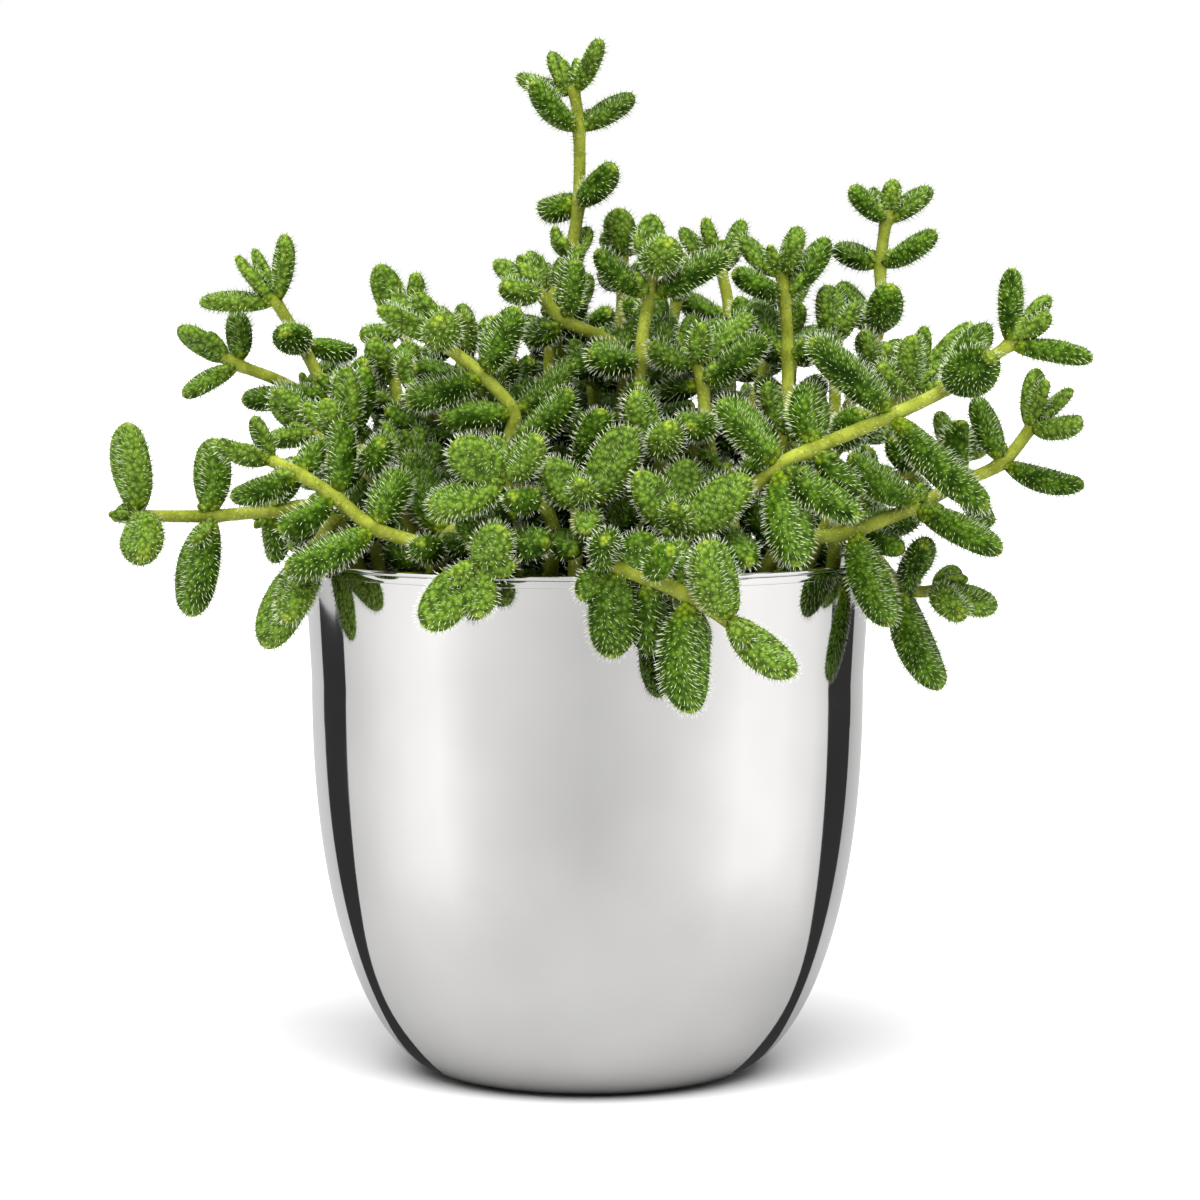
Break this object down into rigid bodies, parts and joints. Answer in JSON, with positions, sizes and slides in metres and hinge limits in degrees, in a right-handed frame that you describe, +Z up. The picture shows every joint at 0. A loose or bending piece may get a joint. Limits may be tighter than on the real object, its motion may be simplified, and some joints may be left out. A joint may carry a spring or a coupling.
{
  "type": "potted pickle plant",
  "caption": "Small polished steel pot with rounded lower edge, filled with soil, holding a dense bush of branching stems with opposite pairs of plump, bristly, cucumber-like leaves.",
  "frame": {"origin": "Centre of the pot's flat underside, on the surface that it stands on", "axes": "+Z up out of the pot, -Y towards the viewer of the picture, +X to the viewer's right"},
  "size_m": [0.1677, 0.1227, 0.1823],
  "materials": {
    "steel": "polished",
    "soil": "matte",
    "leaf": "satin"
  },
  "bodies": {
    "root": {"pot": "steel", "soil": "soil", "shoot_tall_centre": "leaf", "shoot_centre_left": "leaf", "shoot_centre": "leaf", "shoot_centre_right": "leaf", "shoot_right_upper": "leaf", "shoot_back_middle": "leaf", "shoot_tall_right": "leaf", "shoot_right_near": "leaf", "shoot_right_arch": "leaf", "shoot_right_middle": "leaf", "shoot_right_inner": "leaf", "shoot_right_low": "leaf", "shoot_right_top": "leaf", "shoot_front_trailing": "leaf", "shoot_front_left": "leaf", "shoot_left_front": "leaf", "shoot_left_rim": "leaf", "shoot_left_upper": "leaf", "shoot_left_top": "leaf", "shoot_left_back": "leaf", "shoot_left_low": "leaf", "shoot_back_left": "leaf", "shoot_left_centre": "leaf", "shoot_centre_low_left": "leaf", "shoot_centre_low": "leaf", "shoot_right_low_centre": "leaf", "shoot_centre_middle": "leaf", "shoot_back_centre": "leaf", "shoot_back_right": "leaf", "shoot_back_right_end": "leaf", "shoot_left_inner": "leaf", "shoot_left_back_inner": "leaf", "shoot_back_left_centre": "leaf", "shoot_inner_01": "leaf", "shoot_inner_02": "leaf", "shoot_inner_03": "leaf", "shoot_inner_04": "leaf", "shoot_inner_05": "leaf", "shoot_inner_06": "leaf", "shoot_inner_07": "leaf", "shoot_inner_08": "leaf", "shoot_inner_09": "leaf", "shoot_inner_10": "leaf", "shoot_inner_11": "leaf", "shoot_inner_12": "leaf", "shoot_inner_13": "leaf", "shoot_inner_14": "leaf", "shoot_inner_15": "leaf", "shoot_inner_16": "leaf", "shoot_inner_17": "leaf", "shoot_inner_18": "leaf", "shoot_inner_19": "leaf", "shoot_inner_20": "leaf", "shoot_inner_21": "leaf", "shoot_inner_22": "leaf", "shoot_inner_23": "leaf"}
  },
  "joints": []
}
